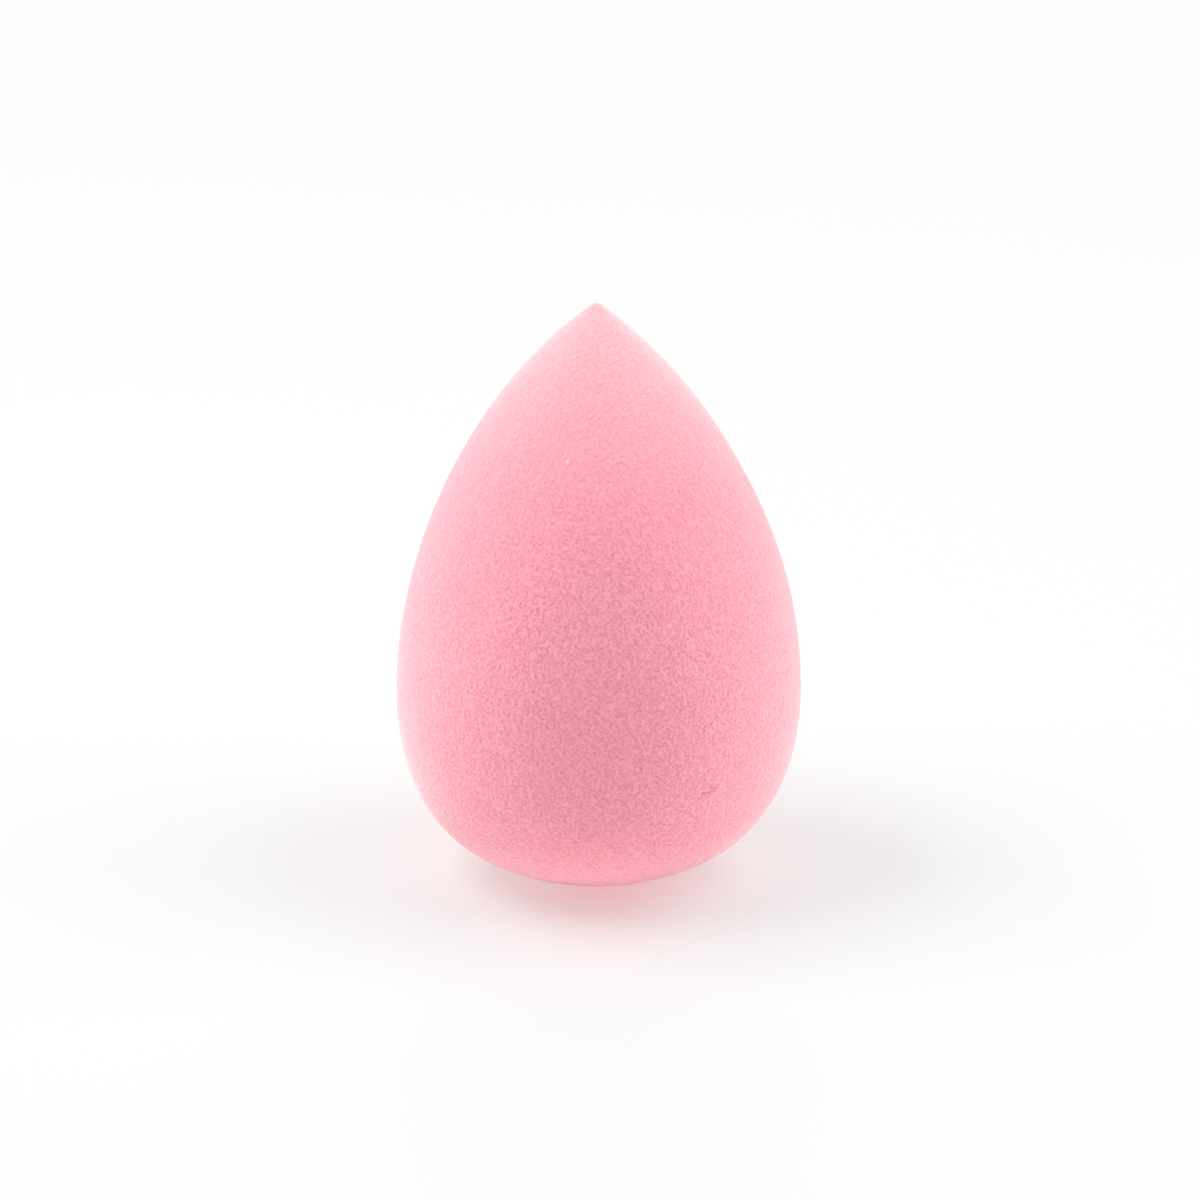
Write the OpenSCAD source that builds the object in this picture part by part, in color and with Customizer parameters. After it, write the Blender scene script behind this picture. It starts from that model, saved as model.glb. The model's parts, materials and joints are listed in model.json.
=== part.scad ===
// Teardrop makeup sponge: one solid block of soft foam, a round body that narrows to a blunt point.
// It stands on a small flat at the origin with its tip up. Lengths are in millimetres.

/* [Body] */
// Height from the resting flat to the tip
sponge_h = 58.5; // [44:0.5:80]
// Diameter at the widest point
sponge_d = 40; // [30:0.5:50]
// Height of the widest point above the resting flat
widest_h = 18.8; // [16:0.2:26]

/* [Tip] */
// Radius of the rounded tip
tip_r = 0.8; // [0.4:0.1:3]
// Angle between the axis and the flank just below the tip, in degrees
tip_half_angle = 52; // [42:1:60]

/* [Underside] */
// Radius of the rounded underside
base_r = 25.3; // [20:0.1:40]
// Depth that the resting flat is pressed into the rounded underside
flat_depth = 0.5; // [0.2:0.1:1]

/* [Smoothness] */
// Steps round the body
round_steps = 180; // [60:12:240]
// Steps along each curve of the outline
curve_steps = 24; // [8:1:40]

/* [Hidden] */
foam_colour = "#f4a3b1";

// Half width that the flank's pull reaches, as a share of the widest half width
flank_share = 0.6;
// Pull above the widest point, as a share of the height from there to the tip
shoulder_share = 0.365;
// Pull below the widest point, as a share of the height from there down to the underside's arc
hip_share = 0.32;
// Half width of the underside's arc, as a share of the widest half width
underside_share = 0.62;
// Pull outwards from the underside's arc, as a share of the width left beside it
heel_share = 0.87;

widest_r = sponge_d / 2;

// The tip's arc starts on the axis and ends where the flank takes over
tip_centre = [0, sponge_h - tip_r];
tip_end = tip_centre + tip_r * [cos(tip_half_angle), sin(tip_half_angle)];

// The underside's arc runs from under the widest part in to the edge of the flat
base_centre = [0, base_r - flat_depth];
base_angle = asin(underside_share * widest_r / base_r);
flat_angle = acos((base_r - flat_depth) / base_r);
base_end = base_centre + base_r * [sin(base_angle), -cos(base_angle)];

// Each curve has two ends and, between them, two points that pull it
flank_reach = flank_share * widest_r - tip_end.x;
flank_curve = [
    tip_end,
    tip_end + flank_reach * [1, -1 / tan(tip_half_angle)],
    [widest_r, widest_h + shoulder_share * (sponge_h - widest_h)],
    [widest_r, widest_h]
];
heel_reach = heel_share * (widest_r - base_end.x);
hip_curve = [
    [widest_r, widest_h],
    [widest_r, widest_h - hip_share * (widest_h - base_end.y)],
    base_end + heel_reach * [1, tan(base_angle)],
    base_end
];

// Points on an arc about centre c, from angle a0 to angle a1
function arc(c, r, a0, a1) =
    [for (i = [0:curve_steps]) let (a = a0 + (a1 - a0) * i / curve_steps) c + r * [cos(a), sin(a)]];

// Point at share t of the way along the curve that the four points p shape
function curve_point(p, t) =
    pow(1 - t, 3) * p[0] + 3 * t * pow(1 - t, 2) * p[1] + 3 * pow(t, 2) * (1 - t) * p[2] + pow(t, 3) * p[3];

// Points inside a curve, without its two ends
function curve_inside(p) = [for (i = [1:curve_steps - 1]) curve_point(p, i / curve_steps)];

// Right half of the sponge's outline, from the tip down to the middle of the flat
outline = concat(
    arc(tip_centre, tip_r, 90, tip_half_angle),
    curve_inside(flank_curve),
    [[widest_r, widest_h]],
    curve_inside(hip_curve),
    arc(base_centre, base_r, base_angle - 90, flat_angle - 90),
    [[0, 0]]
);

module sponge_body() {
    color(foam_colour)
        rotate_extrude($fn = round_steps)
            polygon(outline);
}

sponge_body();
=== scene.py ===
"""Makeup sponge: one teardrop of soft pink foam, standing on its rounded end.

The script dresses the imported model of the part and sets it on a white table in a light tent.
Lengths are in metres, +Z is up, the tip is at the top, and the side that the camera sees faces -Y.
"""

import json
import math

import bpy
import numpy as np
from bpy.props import FloatProperty, FloatVectorProperty, IntProperty, PointerProperty
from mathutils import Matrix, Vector

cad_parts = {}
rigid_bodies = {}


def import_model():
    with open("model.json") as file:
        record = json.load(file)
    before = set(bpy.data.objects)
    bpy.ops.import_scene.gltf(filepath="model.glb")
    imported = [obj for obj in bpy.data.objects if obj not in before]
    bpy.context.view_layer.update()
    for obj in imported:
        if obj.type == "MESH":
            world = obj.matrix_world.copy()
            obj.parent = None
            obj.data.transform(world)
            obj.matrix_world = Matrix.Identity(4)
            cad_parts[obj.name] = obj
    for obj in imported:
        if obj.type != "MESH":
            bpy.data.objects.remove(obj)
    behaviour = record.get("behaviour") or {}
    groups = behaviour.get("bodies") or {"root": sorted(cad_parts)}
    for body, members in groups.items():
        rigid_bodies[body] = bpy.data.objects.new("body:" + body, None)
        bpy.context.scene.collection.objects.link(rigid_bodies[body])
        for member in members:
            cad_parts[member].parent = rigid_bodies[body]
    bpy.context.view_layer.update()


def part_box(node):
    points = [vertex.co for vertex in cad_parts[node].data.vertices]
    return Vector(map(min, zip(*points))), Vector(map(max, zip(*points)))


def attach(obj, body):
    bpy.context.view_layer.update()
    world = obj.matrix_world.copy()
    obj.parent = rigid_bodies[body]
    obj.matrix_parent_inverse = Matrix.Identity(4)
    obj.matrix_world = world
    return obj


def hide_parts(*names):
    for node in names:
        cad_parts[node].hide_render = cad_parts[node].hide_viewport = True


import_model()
SOLID_LOW, SOLID_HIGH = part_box("sponge_body")

bl_info = {
    "name": "Makeup sponge",
    "version": (1, 0, 0),
    "blender": (4, 5, 0),
    "location": "3D View > Sidebar > Sponge",
    "description": "A teardrop foam makeup sponge and the white table it stands on",
    "category": "Add Mesh",
}

MM = 0.001

# The outline's curves, as shares of its own sizes. The part's source has the same ones
FLANK_SHARE = 0.6
SHOULDER_SHARE = 0.365
HIP_SHARE = 0.32
UNDERSIDE_SHARE = 0.62
HEEL_SHARE = 0.87

# Points along each of the outline's two long curves, and how often each face is cut into four
CURVE_STEPS = 400
DOUBLINGS = 8

# The smallest of the open cells, against the largest
SMALLEST_CELL = 0.6

# The photographed sponge is a little off true: it bulges to one side, most of all below its middle.
# Slow waves run over it too, but not near the axis, the foot and the tip
LEAN = 0.24 * MM
LEAN_POWER = 0.75
WAVINESS = 0.05 * MM
WAVE_LENGTH = 16 * MM
WAVE_SPREAD = (0.8, 2.0)
WAVE_COUNT = 9
WAVE_SEED = 3
END_CALM = 3 * MM
AXIS_CALM = 2 * MM

# The marks are placed by bearing, in degrees to the right of the front, and by height
NICK = ((30.8, 14.21 * MM), (32.5, 14.14 * MM), (33.6, 14.15 * MM))
NICK_FORKS = (
    ((33.6, 14.15 * MM), (34.9, 14.33 * MM), (35.6, 14.71 * MM)),
    ((34.9, 14.33 * MM), (32.9, 14.9 * MM)),
)
FORK_STRENGTH = 0.65
NICK_WIDTH = 0.25 * MM
NICK_DEPTH = 0.22 * MM
# The nick and the scuffs are also painted darker: in the nick this is painted shade in its cut
NICK_SHADE = 0.95
SCUFFS = (
    ((66.3, 25.3 * MM), (69.3, 25.2 * MM)),
    ((66.2, 23.0 * MM), (68.8, 23.3 * MM)),
)
SCUFF_WIDTH = 0.45 * MM
SCUFF_STRENGTH = 0.62
FLECK = (-14.0, 46.05 * MM)
FLECK_WIDTH = 0.28 * MM
FLECK_HEIGHT = 0.06 * MM
FLECK_COLOUR = (0.95, 0.62, 0.68)

# How much the painted shade of pores, cells and nick, and the faint clouds, change the foam's red, green
# and blue against each other
SHADE_STRENGTH = (0.38, 1.0, 0.92)
PORE_DEPTH = 0.02 * MM

# How far a pore's wall is from its middle, as a share of the pores' spacing
PORE_REACH = 0.8

# Wide, faint clouds and fine specks in the foam: waves to the metre, the part of the noise that
# counts, and their strength
CLOUD_SCALE = 140.0
CLOUD_SPAN = (0.35, 0.65)
CLOUD_CONTRAST = 0.012
SPECK_SCALE = 2400.0
SPECK_SPAN = (0.3, 0.7)
SPECK_RELIEF = 0.5

FOAM_ROUGHNESS = (0.8, 0.95)
FOAM_GLOSS = 0.25
BLOOM_ROUGHNESS = 0.5

# The grain gets fainter towards the tip, between these heights
GRAIN_FADE_START = 32 * MM
GRAIN_FADE_END = 48 * MM
TIP_GRAIN = 0.5

# The foam is painted paler near the tip and at the underside, as painted light: light through the thin
# tip and light that the table throws up. Its grain is fainter there too
TIP_PALE_START = 42 * MM
TIP_PALE_END = 58 * MM
FOOT_PALE_START = 8.5 * MM
FOOT_PALE_END = 3 * MM
FOOT_GRAIN = 0.6

TABLE_SIZE = 6.0
TABLE_ROUGHNESS = (0.42, 0.5)
TABLE_GLOSS = 0.3
SMUDGE_SCALE = 12.0
SMUDGE_SPAN = (0.3, 0.7)

# Painted light: the table glows pink round the sponge's foot, for the light that comes through the foam.
# Painted shade: the foot's shade, longer from front to back than across, takes green and blue from it,
# and the body's wide, faint shade lies round them both
FOOT_LIGHT = (4.0, 1.9, 2.0)
FOOT_LIGHT_REACH = (14 * MM, 18 * MM)
FOOT_SHADE = (0.96, 0.68, 0.7)
FOOT_SHADE_PLACE = (0.8 * MM, 0.0)
FOOT_SHADE_REACH = (8 * MM, 19 * MM)
BODY_SHADE = (0.94, 0.89, 0.89)
BODY_SHADE_PLACE = (0.0, 5 * MM)
BODY_SHADE_REACH = (26 * MM, 26 * MM)

# The veil that washes the table out is this bright at the sponge. It gets whiter and denser with
# distance, so that the table runs into the tent's white wall with no edge between them
VEIL_LIGHT = 0.779
SWEEP_START = 0.15
SWEEP_END = 0.6

# Width and height of the tent's lit panels, and the height on the axis that they face
TOP_PANEL = (0.7, 0.7)
SIDE_PANEL = (0.7, 0.4)
BACK_PANEL = (0.6, 0.5)
LAMP_AIM = 30 * MM

CAMERA_TARGET = (0.31 * MM, 0.0, 27.9 * MM)
CAMERA_SENSOR = 36.0
CAMERA_LENS = 182.9
CAMERA_CLIP = 0.01

WHITE = (1.0, 1.0, 1.0)


class SpongeShape(bpy.types.PropertyGroup):
    """Sizes of the sponge."""

    height: FloatProperty(
        name="Height",
        description="From the table to the tip",
        default=SOLID_HIGH[2] - SOLID_LOW[2],
        min=0.03,
        unit="LENGTH",
        subtype="DISTANCE",
        precision=4,
    )
    diameter: FloatProperty(
        name="Diameter",
        description="Across the widest part",
        default=SOLID_HIGH[0] - SOLID_LOW[0],
        min=0.02,
        unit="LENGTH",
        subtype="DISTANCE",
        precision=4,
    )
    widest_height: FloatProperty(
        name="Widest height",
        description="Height of the widest part above the table",
        default=18.8 * MM,
        unit="LENGTH",
        subtype="DISTANCE",
        precision=4,
    )
    tip_radius: FloatProperty(
        name="Tip radius",
        description="Radius of the rounded tip",
        default=0.8 * MM,
        unit="LENGTH",
        subtype="DISTANCE",
        precision=4,
    )
    tip_half_angle: FloatProperty(
        name="Tip half angle",
        description="Angle between the axis and the flank just below the tip",
        default=math.radians(52),
        subtype="ANGLE",
    )
    underside_radius: FloatProperty(
        name="Underside radius",
        description="Radius of the rounded underside",
        default=25.3 * MM,
        unit="LENGTH",
        subtype="DISTANCE",
        precision=4,
    )
    flat_depth: FloatProperty(
        name="Flat depth",
        description="How far the resting flat is pressed into the underside",
        default=0.5 * MM,
        unit="LENGTH",
        subtype="DISTANCE",
        precision=4,
    )


class FoamGrain(bpy.types.PropertyGroup):
    """Sizes of the open cells that the foam's ground surface shows."""

    pore_spacing: FloatProperty(
        name="Pore spacing",
        description="Distance between the foam's finest pores",
        default=0.28 * MM,
        unit="LENGTH",
        subtype="DISTANCE",
        precision=5,
    )
    cell_spacing: FloatProperty(
        name="Cell spacing",
        description="Distance between the cells that stand open in the surface",
        default=0.3 * MM,
        unit="LENGTH",
        subtype="DISTANCE",
        precision=5,
    )
    cell_radius: FloatProperty(
        name="Cell radius",
        description="Radius of the largest of the open cells",
        default=0.26 * MM,
        unit="LENGTH",
        subtype="DISTANCE",
        precision=5,
    )
    cell_depth: FloatProperty(
        name="Cell depth",
        description="How deep the open cells are",
        default=0.085 * MM,
        unit="LENGTH",
        subtype="DISTANCE",
        precision=5,
    )
    seed: IntProperty(
        name="Seed",
        description="Number that starts the random places of the cells",
        default=7,
        min=0,
    )


class FoamFinish(bpy.types.PropertyGroup):
    """Colours of the foam, with its painted light and shade."""

    foam_colour: FloatVectorProperty(
        name="Foam",
        description="Colour of the foam's surface",
        default=(0.893, 0.32, 0.389),
        min=0.0,
        max=1.0,
        size=3,
        subtype="COLOR",
    )
    # Painted light: the tip is painted paler, for the light that shines through the thin foam
    tip_lit_colour: FloatVectorProperty(
        name="Tip",
        description="Colour near the tip, where the thin foam lets light through and looks paler",
        default=(0.89, 0.39, 0.43),
        min=0.0,
        max=1.0,
        size=3,
        subtype="COLOR",
    )
    # Painted light: the underside is painted paler, for the light that the table throws up onto it
    foot_lit_colour: FloatVectorProperty(
        name="Foot",
        description="Colour of the underside, which looks paler with the light that the table throws up",
        default=(0.905, 0.385, 0.46),
        min=0.0,
        max=1.0,
        size=3,
        subtype="COLOR",
    )
    # Painted shade in the finest pores, and painted light on their walls
    pore_contrast: FloatProperty(
        name="Pore contrast",
        description="How much darker the finest pores and how much paler their walls are than the foam",
        default=0.18,
        min=0.0,
        max=1.0,
    )
    # Painted shade in the open cells
    cell_contrast: FloatProperty(
        name="Cell contrast",
        description="How much darker the open cells are than the foam",
        default=0.26,
        min=0.0,
        max=1.0,
    )
    fuzz: FloatProperty(
        name="Fuzz",
        description="Strength of the pale bloom where the foam turns away",
        default=0.78,
        min=0.0,
        max=1.0,
    )


class TableStage(bpy.types.PropertyGroup):
    """Camera, lamps and table."""

    camera_distance: FloatProperty(
        name="Camera distance",
        description="From the camera to the middle of the sponge",
        default=0.6,
        unit="LENGTH",
        subtype="DISTANCE",
    )
    camera_elevation: FloatProperty(
        name="Camera elevation",
        description="How far the camera looks down",
        default=math.radians(20),
        subtype="ANGLE",
    )
    top_light: FloatProperty(
        name="Top light",
        description="Brightness of the panel above the sponge",
        default=0.36,
        min=0.0,
    )
    left_light: FloatProperty(
        name="Left light",
        description="Brightness of the low panel on the left",
        default=1.05,
        min=0.0,
    )
    left_high_light: FloatProperty(
        name="Left high light",
        description="Brightness of the high panel on the left",
        default=8.7,
        min=0.0,
    )
    right_light: FloatProperty(
        name="Right light",
        description="Brightness of the low panel on the right",
        default=4.3,
        min=0.0,
    )
    right_high_light: FloatProperty(
        name="Right high light",
        description="Brightness of the high panel on the right",
        default=4.6,
        min=0.0,
    )
    back_light: FloatProperty(
        name="Back light",
        description="Brightness of the panel behind the sponge",
        default=1.5,
        min=0.0,
    )
    # The table's material glows with this light: a painted glow that lights the sponge from below
    table_glow: FloatProperty(
        name="Table glow",
        description="Light that comes up from the lit table",
        default=0.142,
        min=0.0,
    )
    table_veil: FloatProperty(
        name="Table veil",
        description="How far the table looks washed out to white",
        default=0.715,
        min=0.0,
        max=1.0,
    )
    table_colour: FloatVectorProperty(
        name="Table",
        description="Colour of the white table",
        default=(0.8, 0.8, 0.8),
        min=0.0,
        max=1.0,
        size=3,
        subtype="COLOR",
    )


def curve_through(points, steps):
    """Points along the curve that four points shape."""
    share = np.linspace(0.0, 1.0, steps + 1)[:, None]
    start, pull, push, end = (np.array(point, float) for point in points)
    rest = 1 - share
    return rest**3 * start + 3 * share * rest**2 * pull + 3 * share**2 * rest * push + share**3 * end


def arc_about(centre, radius, start, end, steps):
    """Points on an arc about a centre, between two angles."""
    angles = np.linspace(start, end, steps + 1)
    return np.array(centre) + radius * np.column_stack((np.cos(angles), np.sin(angles)))


def flank_curve(shape, tip_end):
    """From the end of the rounded tip, out and down to the widest point."""
    widest = shape.diameter / 2
    reach = FLANK_SHARE * widest - tip_end[0]
    shoulder = shape.widest_height + SHOULDER_SHARE * (shape.height - shape.widest_height)
    points = (
        tip_end,
        tip_end + reach * np.array((1.0, -1 / math.tan(shape.tip_half_angle))),
        (widest, shoulder),
        (widest, shape.widest_height),
    )
    return curve_through(points, CURVE_STEPS)


def heel_curve(shape, base_end, base_angle):
    """From the widest point, in and down to the rounded underside."""
    widest = shape.diameter / 2
    reach = HEEL_SHARE * (widest - base_end[0])
    hip = shape.widest_height - HIP_SHARE * (shape.widest_height - base_end[1])
    points = (
        (widest, shape.widest_height),
        (widest, hip),
        base_end + reach * np.array((1.0, math.tan(base_angle))),
        base_end,
    )
    return curve_through(points, CURVE_STEPS)


def sponge_outline(shape):
    """Right half of the outline as (half width, height), from the tip to the middle of the flat."""
    down = math.pi / 2
    slope = shape.tip_half_angle
    tip_centre = np.array((0.0, shape.height - shape.tip_radius))
    tip_end = tip_centre + shape.tip_radius * np.array((math.cos(slope), math.sin(slope)))
    base = shape.underside_radius
    base_centre = np.array((0.0, base - shape.flat_depth))
    base_angle = math.asin(UNDERSIDE_SHARE * (shape.diameter / 2) / base)
    base_end = base_centre + base * np.array((math.sin(base_angle), -math.cos(base_angle)))
    flat_angle = math.acos((base - shape.flat_depth) / base)
    flat_widths = np.linspace(base * math.sin(flat_angle), 0.0, CURVE_STEPS // 4)
    return np.vstack(
        (
            arc_about(tip_centre, shape.tip_radius, down, slope, CURVE_STEPS // 8),
            flank_curve(shape, tip_end)[1:],
            heel_curve(shape, base_end, base_angle)[1:],
            arc_about(base_centre, base, base_angle - down, flat_angle - down, CURVE_STEPS // 4)[1:],
            np.column_stack((flat_widths, np.zeros_like(flat_widths)))[1:],
        )
    )


def place_on_outline(outline, bearing, height):
    """Point on the sponge at a bearing, in degrees to the right of the front, and a height."""
    half_width = np.interp(height, outline[::-1, 1], outline[::-1, 0])
    angle = math.radians(bearing)
    return np.array((half_width * math.sin(angle), -half_width * math.cos(angle), height))


def wrap_round_outline(directions, outline):
    """Moves points of a ball onto the sponge, each keeping its share of the surface."""
    steps = np.diff(outline, axis=0)
    lengths = np.hypot(steps[:, 0], steps[:, 1])
    rings = lengths * (outline[1:, 0] + outline[:-1, 0])
    share = np.concatenate(((0.0,), np.cumsum(rings)))
    share /= share[-1]
    wanted = np.clip((1 - directions[:, 2]) / 2, 0.0, 1.0)
    # The root of the share runs evenly near a pole, where the share itself barely grows
    upper = np.sqrt(share)
    lower = np.sqrt(1 - share[::-1])
    half_width = np.where(
        wanted < 0.5,
        np.interp(np.sqrt(wanted), upper, outline[:, 0]),
        np.interp(np.sqrt(1 - wanted), lower, outline[::-1, 0]),
    )
    height = np.where(
        wanted < 0.5,
        np.interp(np.sqrt(wanted), upper, outline[:, 1]),
        np.interp(np.sqrt(1 - wanted), lower, outline[::-1, 1]),
    )
    flat_length = np.maximum(np.hypot(directions[:, 0], directions[:, 1]), 1e-12)
    return np.column_stack(
        (
            directions[:, 0] / flat_length * half_width,
            directions[:, 1] / flat_length * half_width,
            height,
        )
    )


def smooth_step(values):
    """Eases values from 0 to 1, and holds them there outside that range."""
    eased = np.clip(values, 0.0, 1.0)
    return eased * eased * (3 - 2 * eased)


def soft_waves(points, length, seed):
    """Slow random waves over the points, between about -1 and 1."""
    random = np.random.default_rng(seed)
    total = np.zeros(len(points))
    for _ in range(WAVE_COUNT):
        direction = random.normal(size=3)
        direction /= np.linalg.norm(direction)
        reach = length * random.uniform(*WAVE_SPREAD)
        phase = random.uniform(0.0, 2 * math.pi)
        total += np.sin(points @ direction * (2 * math.pi / reach) + phase)
    return total / math.sqrt(WAVE_COUNT)


def open_cells(points, spacing, largest, seed):
    """How far each point is inside its nearest open cell, from 0 outside to 1 in its middle."""
    random = np.random.default_rng(seed)
    low = points.min(axis=0) - 2 * spacing
    square = np.floor((points - low) / spacing).astype(int)
    count = square.max(axis=0) + 3
    offsets = random.random((*count, 3))
    smallest = SMALLEST_CELL * largest
    radii = smallest + (largest - smallest) * random.random(tuple(count))
    inside = np.zeros(len(points))
    for shift in np.ndindex(3, 3, 3):
        near = square + np.array(shift) - 1
        where = (near[:, 0], near[:, 1], near[:, 2])
        centres = low + (near + offsets[where]) * spacing
        distance = np.linalg.norm(points - centres, axis=1)
        inside = np.maximum(inside, 1 - distance / radii[where])
    return inside


def closeness_to_path(points, path, width):
    """How close the points are to a path through a few places, from 0 beyond its width to 1 on it."""
    nearest = np.full(len(points), 1e3)
    for start, end in zip(path[:-1], path[1:]):
        along = end - start
        share = np.clip((points - start) @ along / max(along @ along, 1e-18), 0.0, 1.0)
        nearest = np.minimum(nearest, np.linalg.norm(points - start - share[:, None] * along, axis=1))
    return smooth_step(1 - nearest / width)


def deselect_all():
    for item in bpy.context.view_layer.objects:
        item.select_set(False)


def add_unwrapped_cube(name):
    """Adds a cube with each side on its own square of the baking map."""
    deselect_all()
    bpy.ops.mesh.primitive_cube_add(size=2.0, location=(0.0, 0.0, 0.0))
    cube = bpy.context.active_object
    cube.name = name
    cube.data.name = name
    layer = cube.data.uv_layers[0]
    layer.name = "OFBake"
    inset = 0.985
    for face in cube.data.polygons:
        axis = max(range(3), key=lambda k: abs(face.normal[k]))
        side = 1 if face.normal[axis] > 0 else -1
        for corner in face.loop_indices:
            place = cube.data.vertices[cube.data.loops[corner].vertex_index].co
            across = side * place[(axis + 1) % 3] * inset
            up = place[(axis + 2) % 3] * inset
            row = 0 if side < 0 else 1
            layer.data[corner].uv = ((axis + 0.5 + across / 2) / 3, (row + 0.5 + up / 2) / 2)
    return cube


def subdivide_evenly(piece, doublings):
    """Cuts every face into four, several times over, without rounding it."""
    modifier = piece.modifiers.new("Even cuts", "SUBSURF")
    modifier.subdivision_type = "SIMPLE"
    modifier.levels = doublings
    modifier.render_levels = doublings
    modifier.uv_smooth = "NONE"
    bpy.context.view_layer.objects.active = piece
    bpy.ops.object.modifier_apply(modifier=modifier.name)


def read_points(piece):
    """The piece's vertices, as an array of points."""
    values = np.empty(len(piece.data.vertices) * 3, np.float32)
    piece.data.vertices.foreach_get("co", values)
    return values.reshape(-1, 3).astype(float)


def write_points(piece, points):
    """Puts the piece's vertices at these points."""
    piece.data.vertices.foreach_set("co", points.astype(np.float32).ravel())
    piece.data.update()


def read_normals(piece):
    """The outward direction at each of the piece's vertices."""
    values = np.empty(len(piece.data.vertices) * 3, np.float32)
    piece.data.vertex_normals.foreach_get("vector", values)
    return values.reshape(-1, 3).astype(float)


def write_attribute(piece, name, values):
    """Keeps one value for each vertex under a name that the material reads."""
    attribute = piece.data.attributes.new(name, "FLOAT", "POINT")
    attribute.data.foreach_set("value", values.astype(np.float32))


def lean_and_wave(points, shape):
    """Takes the sponge a little off true, as a piece of ground foam is."""
    share = points[:, 2] / shape.height
    leaning = points.copy()
    leaning[:, 0] += LEAN * np.sin(np.clip(share, 0.0, 1.0) ** LEAN_POWER * math.pi) ** 2
    outward = points.copy()
    outward[:, 2] = 0.0
    outward /= np.maximum(np.linalg.norm(outward, axis=1), AXIS_CALM)[:, None]
    foot_calm = smooth_step(points[:, 2] / END_CALM)
    tip_calm = smooth_step((shape.height - points[:, 2]) / END_CALM)
    waves = WAVINESS * (foot_calm * tip_calm) * soft_waves(points, WAVE_LENGTH, WAVE_SEED)
    leaning += outward * waves[:, None]
    return leaning


def shape_body(piece, shape, outline):
    """Lays the points of a cut cube on the sponge's outline, slightly off true."""
    even = np.tan(read_points(piece) * (math.pi / 4))
    even /= np.linalg.norm(even, axis=1)[:, None]
    smooth = wrap_round_outline(even, outline)
    write_points(piece, lean_and_wave(smooth, shape))


def mark_dents(points, outline):
    """How deep in the nick or in a scuff each point is, from 0 outside to 1 at the nick's bottom."""
    dents = np.zeros(len(points))
    marks = (
        ((NICK,), NICK_WIDTH, 1.0),
        (NICK_FORKS, NICK_WIDTH, FORK_STRENGTH),
        (SCUFFS, SCUFF_WIDTH, SCUFF_STRENGTH),
    )
    for paths, width, strength in marks:
        for path in paths:
            places = [place_on_outline(outline, bearing, height) for bearing, height in path]
            dents = np.maximum(dents, strength * closeness_to_path(points, places, width))
    return dents


def mark_fleck(points, outline):
    """How close the points are to the middle of the pale fleck, from 0 outside to 1."""
    place = place_on_outline(outline, *FLECK)
    return closeness_to_path(points, [place, place], FLECK_WIDTH)


def add_foam_sponge(shape, grain):
    """Makes the sponge's form, with its open cells and its few marks."""
    piece = add_unwrapped_cube("foam_sponge")
    subdivide_evenly(piece, DOUBLINGS)
    outline = sponge_outline(shape)
    shape_body(piece, shape, outline)
    points = read_points(piece)
    normals = read_normals(piece)

    cells = smooth_step(open_cells(points, grain.cell_spacing, grain.cell_radius, grain.seed))
    dents = mark_dents(points, outline)
    fleck = mark_fleck(points, outline)
    cells *= 1 - np.maximum(fleck, dents)
    height = FLECK_HEIGHT * fleck - grain.cell_depth * cells - NICK_DEPTH * dents
    write_points(piece, points + normals * height[:, None])
    # The material paints the open cells darker by this: painted shade in their hollows
    write_attribute(piece, "open_cell", cells)
    # The material paints the nick and the scuffs darker by this: painted shade in the nick's cut
    write_attribute(piece, "nick", dents)
    write_attribute(piece, "fleck", fleck)
    bpy.ops.object.shade_smooth()
    return piece


def new_material(name):
    """A material with an empty node tree but for its output and its Principled shader."""
    material = bpy.data.materials.new(name)
    material.use_nodes = True
    tree = material.node_tree
    tree.nodes.clear()
    output = tree.nodes.new("ShaderNodeOutputMaterial")
    surface = tree.nodes.new("ShaderNodeBsdfPrincipled")
    tree.links.new(surface.outputs["BSDF"], output.inputs["Surface"])
    return material, tree, surface, output


def add_attribute(tree, name):
    """Reads a value that the piece keeps for each vertex."""
    attribute = tree.nodes.new("ShaderNodeAttribute")
    attribute.attribute_name = name
    return attribute.outputs["Fac"]


def add_noise(tree, place, scale, detail, roughness=0.5):
    """A noise that reads a place, with so many waves to the metre."""
    noise = tree.nodes.new("ShaderNodeTexNoise")
    noise.inputs["Scale"].default_value = scale
    noise.inputs["Detail"].default_value = detail
    noise.inputs["Roughness"].default_value = roughness
    tree.links.new(place, noise.inputs["Vector"])
    return noise.outputs["Fac"]


def add_range(tree, value, low, high, to_low, to_high):
    """Stretches a value from one range to another, and clamps it there."""
    stretch = tree.nodes.new("ShaderNodeMapRange")
    stretch.inputs["From Min"].default_value = low
    stretch.inputs["From Max"].default_value = high
    stretch.inputs["To Min"].default_value = to_low
    stretch.inputs["To Max"].default_value = to_high
    tree.links.new(value, stretch.inputs["Value"])
    return stretch.outputs["Result"]


def add_math(tree, operation, first, second=0.0):
    """Combines a value with another value or a number."""
    step = tree.nodes.new("ShaderNodeMath")
    step.operation = operation
    tree.links.new(first, step.inputs[0])
    if isinstance(second, (int, float)):
        step.inputs[1].default_value = second
    else:
        tree.links.new(second, step.inputs[1])
    return step.outputs["Value"]


def add_vector_math(tree, operation, first, second):
    """Combines a colour or a place with another one or with three numbers."""
    step = tree.nodes.new("ShaderNodeVectorMath")
    step.operation = operation
    tree.links.new(first, step.inputs[0])
    if isinstance(second, tuple):
        step.inputs[1].default_value = second
    else:
        tree.links.new(second, step.inputs[1])
    return step.outputs["Vector"]


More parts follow.
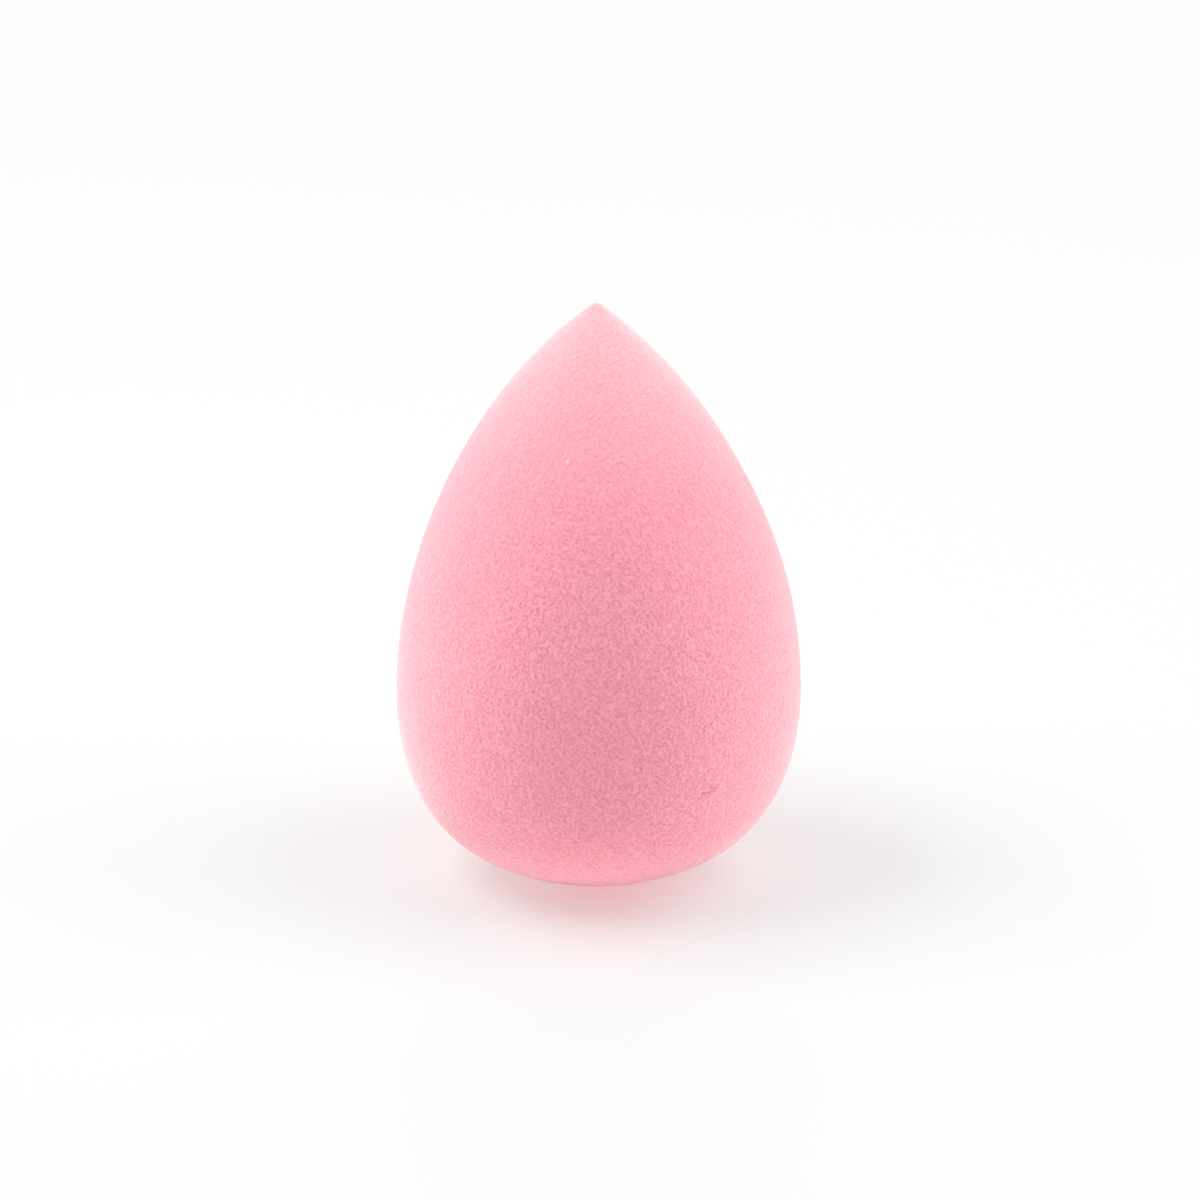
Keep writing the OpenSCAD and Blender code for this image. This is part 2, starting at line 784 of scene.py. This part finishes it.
def add_colour_mix(tree, factor, first, second):
    """Mixes two colours, each a socket or three numbers."""
    mix = tree.nodes.new("ShaderNodeMix")
    mix.data_type = "RGBA"
    tree.links.new(factor, mix.inputs["Factor"])
    # The node also has number and vector sockets: its colours go in at 6 and 7 and come out at 2
    for socket, colour in ((mix.inputs[6], first), (mix.inputs[7], second)):
        if isinstance(colour, bpy.types.NodeSocket):
            tree.links.new(colour, socket)
        else:
            socket.default_value = (*colour, 1.0)
    return mix.outputs[2]


def add_pores(tree, place, spacing):
    """Fine pores so far apart: 0 in the middle of a pore and 1 on the walls between them."""
    pores = tree.nodes.new("ShaderNodeTexVoronoi")
    pores.inputs["Scale"].default_value = 1 / spacing
    tree.links.new(place, pores.inputs["Vector"])
    stretch = tree.nodes.new("ShaderNodeMapRange")
    stretch.interpolation_type = "SMOOTHSTEP"
    stretch.inputs["From Max"].default_value = PORE_REACH
    tree.links.new(pores.outputs["Distance"], stretch.inputs["Value"])
    return stretch.outputs["Result"]


def add_shade(tree, colour, shade):
    """Makes a colour paler where the shade is above 0 and darker where it is below."""
    change = add_vector_math(tree, "MULTIPLY", shade, SHADE_STRENGTH)
    share = add_vector_math(tree, "ADD", change, WHITE)
    return add_vector_math(tree, "MULTIPLY", colour, share)


def add_body_colour(tree, height, foot_share, finish):
    """The foam's colour with painted light: paler near the tip, for light through the thin foam, and at
    the underside, for the table's light.
    """
    tip_share = add_range(tree, height, TIP_PALE_START, TIP_PALE_END, 0.0, 1.0)
    body = add_colour_mix(tree, tip_share, finish.foam_colour, finish.tip_lit_colour)
    return add_colour_mix(tree, foot_share, body, finish.foot_lit_colour)


def add_grain_share(tree, height, foot_share):
    """How clearly the grain shows: less near the tip and at the underside."""
    tip_grain = add_range(tree, height, GRAIN_FADE_START, GRAIN_FADE_END, 1.0, TIP_GRAIN)
    foot_grain = add_range(tree, foot_share, 0.0, 1.0, 1.0, FOOT_GRAIN)
    return add_math(tree, "MULTIPLY", tip_grain, foot_grain)


def add_foam_colour(tree, place, walls, finish):
    """Colour of the foam, with its painted light and shade, its faint clouds and its marks."""
    parts = tree.nodes.new("ShaderNodeSeparateXYZ")
    tree.links.new(place, parts.inputs["Vector"])
    height = parts.outputs["Z"]
    foot_share = add_range(tree, height, FOOT_PALE_END, FOOT_PALE_START, 1.0, 0.0)
    body = add_body_colour(tree, height, foot_share, finish)

    # Painted shade in the pores, with their walls paler, and in the open cells
    wall_shade = add_range(tree, walls, 0.0, 1.0, -finish.pore_contrast, finish.pore_contrast)
    cell_shade = add_math(tree, "MULTIPLY", add_attribute(tree, "open_cell"), -finish.cell_contrast)
    # Painted shade: the nick and the scuffs darker
    nick_shade = add_math(tree, "MULTIPLY", add_attribute(tree, "nick"), -NICK_SHADE)
    clouds = add_noise(tree, place, CLOUD_SCALE, detail=2.0)
    cloud_shade = add_range(tree, clouds, *CLOUD_SPAN, -CLOUD_CONTRAST, CLOUD_CONTRAST)
    shade = add_math(tree, "ADD", wall_shade, cell_shade)
    shade = add_math(tree, "MULTIPLY", shade, add_grain_share(tree, height, foot_share))
    shade = add_math(tree, "ADD", shade, cloud_shade)
    shade = add_math(tree, "ADD", shade, nick_shade)
    shaded = add_shade(tree, body, shade)
    return add_colour_mix(tree, add_attribute(tree, "fleck"), shaded, FLECK_COLOUR)


def add_fine_relief(tree, walls, specks):
    """The relief of the finest pores, as a bumped normal."""
    bump = tree.nodes.new("ShaderNodeBump")
    bump.inputs["Strength"].default_value = 1.0
    bump.inputs["Distance"].default_value = PORE_DEPTH
    speck_relief = add_math(tree, "MULTIPLY", specks, SPECK_RELIEF)
    relief = add_math(tree, "ADD", walls, speck_relief)
    tree.links.new(relief, bump.inputs["Height"])
    return bump.outputs["Normal"]


def foam_material(finish, grain):
    """Soft pink foam, matt and finely pitted, with a pale bloom, painted shade in its pits and painted
    light at tip and foot.
    """
    material, tree, surface, _output = new_material("pink_foam")
    place = tree.nodes.new("ShaderNodeTexCoord").outputs["Object"]
    specks = add_noise(tree, place, SPECK_SCALE, detail=2.0, roughness=0.6)
    walls = add_pores(tree, place, grain.pore_spacing)
    colour = add_foam_colour(tree, place, walls, finish)
    roughness = add_range(tree, specks, *SPECK_SPAN, *FOAM_ROUGHNESS)
    relief = add_fine_relief(tree, walls, specks)
    tree.links.new(colour, surface.inputs["Base Color"])
    tree.links.new(roughness, surface.inputs["Roughness"])
    tree.links.new(relief, surface.inputs["Normal"])
    surface.inputs["Specular IOR Level"].default_value = FOAM_GLOSS
    surface.inputs["Sheen Weight"].default_value = finish.fuzz
    surface.inputs["Sheen Roughness"].default_value = BLOOM_ROUGHNESS
    surface.inputs["Sheen Tint"].default_value = (*WHITE, 1.0)
    return material


def add_nearness(tree, place, centre, reach):
    """Falls softly from 1 at a spot on the table towards 0 past a reach across and front to back."""
    away = add_vector_math(tree, "SUBTRACT", place, (*centre, 0.0))
    steps = add_vector_math(tree, "MULTIPLY", away, (1 / reach[0], 1 / reach[1], 0.0))
    length = tree.nodes.new("ShaderNodeVectorMath")
    length.operation = "DOT_PRODUCT"
    tree.links.new(steps, length.inputs[0])
    tree.links.new(steps, length.inputs[1])
    fall = add_math(tree, "MULTIPLY", length.outputs["Value"], -1.0)
    return add_math(tree, "EXPONENT", fall)


def add_seen_rays(tree):
    """1 for the rays that see a surface straight, in a mirror or through glass, and 0 for all others."""
    rays = tree.nodes.new("ShaderNodeLightPath")
    seen = add_math(tree, "ADD", rays.outputs["Is Camera Ray"], rays.outputs["Is Glossy Ray"])
    return add_math(tree, "ADD", seen, rays.outputs["Is Transmission Ray"])


def add_rise(tree, share, start):
    """Rises from its start to 1 as the share goes from 0 to 1."""
    rise = add_math(tree, "MULTIPLY", share, 1 - start)
    return add_math(tree, "ADD", rise, start)


def add_table_shade(tree, place):
    """Colour of the shade on the table: the foot's and the body's, one over the other."""
    under_foot = add_nearness(tree, place, FOOT_SHADE_PLACE, FOOT_SHADE_REACH)
    under_body = add_nearness(tree, place, BODY_SHADE_PLACE, BODY_SHADE_REACH)
    foot_shade = add_colour_mix(tree, under_foot, WHITE, FOOT_SHADE)
    body_shade = add_colour_mix(tree, under_body, WHITE, BODY_SHADE)
    return add_vector_math(tree, "MULTIPLY", foot_shade, body_shade)


def add_veil(tree, place, surface, near_share):
    """Washes the seen table out to white, by a share near the sponge and wholly far from it."""
    distance = tree.nodes.new("ShaderNodeVectorMath")
    distance.operation = "LENGTH"
    tree.links.new(place, distance.inputs[0])
    sweep = add_range(tree, distance.outputs["Value"], SWEEP_START, SWEEP_END, 0.0, 1.0)
    veil = tree.nodes.new("ShaderNodeEmission")
    # The veil takes the painted shade of the foot and the body as its colour
    tree.links.new(add_table_shade(tree, place), veil.inputs["Color"])
    tree.links.new(add_rise(tree, sweep, VEIL_LIGHT), veil.inputs["Strength"])
    share = add_math(tree, "MULTIPLY", add_seen_rays(tree), add_rise(tree, sweep, near_share))
    mix = tree.nodes.new("ShaderNodeMixShader")
    tree.links.new(share, mix.inputs["Fac"])
    tree.links.new(surface, mix.inputs[1])
    tree.links.new(veil.outputs["Emission"], mix.inputs[2])
    return mix.outputs["Shader"]


def table_material(stage):
    """White table top, faintly glossy, washed out to white by the light tent, with a painted glow, pink
    round the foot, and painted shade round the sponge.
    """
    material, tree, surface, output = new_material("white_table")
    place = tree.nodes.new("ShaderNodeTexCoord").outputs["Object"]
    smudge = add_noise(tree, place, SMUDGE_SCALE, detail=2.0)
    roughness = add_range(tree, smudge, *SMUDGE_SPAN, *TABLE_ROUGHNESS)
    tree.links.new(roughness, surface.inputs["Roughness"])
    surface.inputs["Base Color"].default_value = (*stage.table_colour, 1.0)
    surface.inputs["Specular IOR Level"].default_value = TABLE_GLOSS
    # Painted light: the table's own glow, pink round the foot
    near_foot = add_nearness(tree, place, (0.0, 0.0), FOOT_LIGHT_REACH)
    foot_light = add_colour_mix(tree, near_foot, WHITE, FOOT_LIGHT)
    tree.links.new(foot_light, surface.inputs["Emission Color"])
    surface.inputs["Emission Strength"].default_value = stage.table_glow
    veiled = add_veil(tree, place, surface.outputs["BSDF"], stage.table_veil)
    tree.links.new(veiled, output.inputs["Surface"])
    return material


def aim(item, target):
    """Turns a lamp or a camera to face a point."""
    towards = Vector(target) - item.location
    item.rotation_euler = towards.to_track_quat("-Z", "Y").to_euler()


def add_panel_lamp(name, brightness, size, bearing, elevation, distance):
    """A flat lamp like a lit side of a light tent, aimed at the sponge.

    The bearing and elevation are in degrees, with bearing 0 over the camera and 90 on its right.
    """
    around = math.radians(bearing)
    up = math.radians(elevation)
    across = distance * math.cos(up)
    place = (across * math.sin(around), -across * math.cos(around), LAMP_AIM + distance * math.sin(up))
    bpy.ops.object.light_add(type="AREA", location=place)
    lamp = bpy.context.active_object
    lamp.name = name
    lamp.data.shape = "RECTANGLE"
    lamp.data.size = size[0]
    lamp.data.size_y = size[1]
    lamp.data.energy = brightness * math.pi * size[0] * size[1]
    aim(lamp, (0.0, 0.0, LAMP_AIM))


def add_lamps(stage):
    """The light tent's bright panels: one above, two on each side and one behind."""
    low = 25
    high = 55
    # The last three of each are its bearing, its elevation and its distance
    add_panel_lamp("top_panel", stage.top_light, TOP_PANEL, 0, 90, 0.7)
    add_panel_lamp("left_panel", stage.left_light, SIDE_PANEL, -90, low, 0.9)
    add_panel_lamp("left_high_panel", stage.left_high_light, SIDE_PANEL, -90, high, 0.8)
    add_panel_lamp("right_panel", stage.right_light, SIDE_PANEL, 90, low, 0.9)
    add_panel_lamp("right_high_panel", stage.right_high_light, SIDE_PANEL, 90, high, 0.8)
    add_panel_lamp("back_panel", stage.back_light, BACK_PANEL, 180, 35, 0.7)


def add_tent_world():
    """The tent's walls: white where they are seen or mirrored, with no light of their own."""
    world = bpy.data.worlds.new("light_tent")
    world.use_nodes = True
    tree = world.node_tree
    tree.nodes.clear()
    output = tree.nodes.new("ShaderNodeOutputWorld")
    walls = tree.nodes.new("ShaderNodeBackground")
    walls.inputs["Color"].default_value = (*WHITE, 1.0)
    tree.links.new(add_seen_rays(tree), walls.inputs["Strength"])
    tree.links.new(walls.outputs["Background"], output.inputs["Surface"])
    bpy.context.scene.world = world


def add_camera(stage):
    """The camera stands where the photograph was taken from."""
    target = Vector(CAMERA_TARGET)
    angle = stage.camera_elevation
    back = Vector((0.0, -math.cos(angle), math.sin(angle))) * stage.camera_distance
    bpy.ops.object.camera_add(location=target + back)
    camera = bpy.context.active_object
    camera.name = "photo_camera"
    aim(camera, target)
    camera.data.sensor_width = CAMERA_SENSOR
    camera.data.lens = CAMERA_LENS
    camera.data.clip_start = CAMERA_CLIP
    bpy.context.scene.camera = camera


class MAKEUP_SPONGE_OT_add_foam(bpy.types.Operator):
    """Add the foam sponge in place of its plain solid."""

    bl_idname = "makeup_sponge.add_foam"
    bl_label = "Add Foam Sponge"

    def execute(self, context):
        scene = context.scene
        piece = add_foam_sponge(scene.sponge_shape, scene.foam_grain)
        piece.data.materials.clear()
        piece.data.materials.append(foam_material(scene.foam_finish, scene.foam_grain))
        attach(piece, "root")
        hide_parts("sponge_body")
        return {"FINISHED"}


class MAKEUP_SPONGE_OT_add_stage(bpy.types.Operator):
    """Add the white table, the light tent and the camera."""

    bl_idname = "makeup_sponge.add_stage"
    bl_label = "Add Table and Lamps"

    def execute(self, context):
        scene = context.scene
        stage = scene.table_stage
        deselect_all()
        bpy.ops.mesh.primitive_plane_add(size=TABLE_SIZE, location=(0.0, 0.0, 0.0))
        table = bpy.context.active_object
        table.name = "white_table"
        table.data.materials.append(table_material(stage))
        add_lamps(stage)
        add_tent_world()
        add_camera(stage)
        scene.view_settings.view_transform = "Standard"
        return {"FINISHED"}


class VIEW3D_PT_makeup_sponge(bpy.types.Panel):
    """The sponge's sizes, colours and stage in the sidebar."""

    bl_label = "Makeup Sponge"
    bl_space_type = "VIEW_3D"
    bl_region_type = "UI"
    bl_category = "Sponge"

    def draw(self, context):
        scene = context.scene
        for group in (scene.sponge_shape, scene.foam_grain, scene.foam_finish):
            self.list_settings(group)
        self.layout.operator(MAKEUP_SPONGE_OT_add_foam.bl_idname)
        self.list_settings(scene.table_stage)
        self.layout.operator(MAKEUP_SPONGE_OT_add_stage.bl_idname)

    def list_settings(self, group):
        """Lists each setting of a group."""
        box = self.layout.box()
        for setting in group.__annotations__:
            box.prop(group, setting)


CLASSES = (
    SpongeShape,
    FoamGrain,
    FoamFinish,
    TableStage,
    MAKEUP_SPONGE_OT_add_foam,
    MAKEUP_SPONGE_OT_add_stage,
    VIEW3D_PT_makeup_sponge,
)

SETTINGS = {
    "sponge_shape": SpongeShape,
    "foam_grain": FoamGrain,
    "foam_finish": FoamFinish,
    "table_stage": TableStage,
}


def register():
    for one in CLASSES:
        bpy.utils.register_class(one)
    for name, group in SETTINGS.items():
        setattr(bpy.types.Scene, name, PointerProperty(type=group))


def unregister():
    for name in SETTINGS:
        delattr(bpy.types.Scene, name)
    for one in reversed(CLASSES):
        bpy.utils.unregister_class(one)


def main():
    register()
    bpy.ops.makeup_sponge.add_foam()
    bpy.ops.makeup_sponge.add_stage()


if __name__ == "__main__":
    main()
